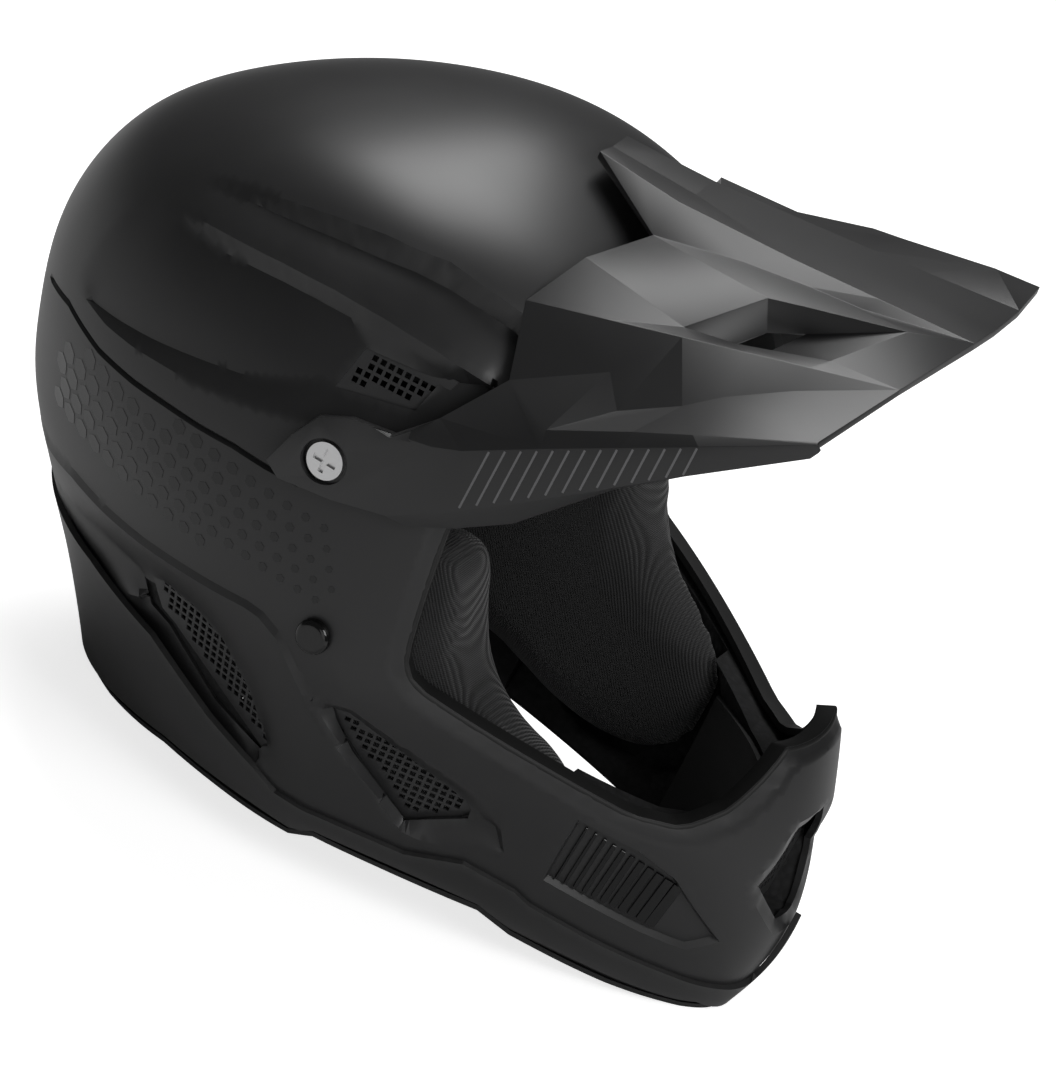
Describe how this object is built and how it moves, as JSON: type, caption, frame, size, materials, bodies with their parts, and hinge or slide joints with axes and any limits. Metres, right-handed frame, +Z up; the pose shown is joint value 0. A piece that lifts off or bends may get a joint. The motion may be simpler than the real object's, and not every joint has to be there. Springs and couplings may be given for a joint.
{
  "type": "full face bicycle helmet",
  "caption": "Downhill full face helmet with tilting visor, vented chin bar, removable cheek pads and double ring chin strap.",
  "frame": {"origin": "on the floor under the lower edge, midway between the two flanks and midway between chin and nape", "axes": "+X to the wearer's left, -Y the way the face looks, +Z up"},
  "size_m": [0.2528, 0.357, 0.2868],
  "materials": {
    "shell": "matte",
    "wrap": "satin",
    "trim_rubber": "matte",
    "foam": "matte, expanded bead foam",
    "cover": "satin",
    "padding": "ribbed knit",
    "mesh": "satin",
    "screw": "satin",
    "insert": "brushed",
    "knob": "gloss",
    "rivet": "black, semi-gloss",
    "webbing": "woven",
    "ring": "satin"
  },
  "bodies": {
    "root": {"outer_shell": "shell", "lower_wrap": "wrap", "base_trim": "trim_rubber", "eyeport_trim": "trim_rubber", "crown_liner": "foam", "chin_liner": "foam", "chin_guard_cover": "cover", "crown_pad": "padding", "brow_pad": "padding", "neck_roll": "padding", "cheek_pad_right": "padding", "cheek_pad_left": "padding", "chin_vent_mesh": "mesh", "exhaust_vent_mesh": "mesh", "visor_screw_right": "screw", "visor_screw_left": "screw", "visor_nuts": "insert", "strap_rivets": "rivet", "strap_anchor_plates": "insert", "chin_strap_right": "webbing", "chin_strap_left": "webbing", "strap_keeper_snap": "knob", "cheek_snap_studs": "knob", "cheek_snap_sockets": "knob", "front_side_vent_mesh_right": "mesh", "front_side_vent_mesh_left": "mesh", "rear_side_vent_mesh_right": "mesh", "rear_side_vent_mesh_left": "mesh", "brow_vent_mesh_right": "mesh", "brow_vent_mesh_left": "mesh"},
    "visor_body": {"visor": "shell"},
    "lock_body": {"lock_screw": "knob", "lock_washer": "insert"},
    "ring_outer_body": {"ring_outer": "ring"},
    "ring_inner_body": {"ring_inner": "ring"}
  },
  "joints": [
    {"name": "visor_tilt", "type": "hinge", "parent": "root", "child": "visor_body", "pos_m": [0, 0.01449, 0.16997], "axis": [1, 0, 0], "range_deg": [-4, 4]},
    {"name": "lock_screw_turn", "type": "hinge", "parent": "root", "child": "lock_body", "pos_m": [0, 0.01449, 0.16997], "axis": [0, -0.8637, 0.504], "continuous": true},
    {"name": "ring_outer_swing", "type": "hinge", "parent": "root", "child": "ring_outer_body", "pos_m": [0.0563, 0.0096, 0.0319], "axis": [0, 1, 0], "range_deg": [0, 30]},
    {"name": "ring_inner_swing", "type": "hinge", "parent": "root", "child": "ring_inner_body", "pos_m": [0.0517, 0.0096, 0.0319], "axis": [0, 1, 0], "range_deg": [0, 30]}
  ],
  "couplings": [
    {"joint": "ring_outer_swing", "follows": "ring_inner_swing", "ratio": 1}
  ]
}
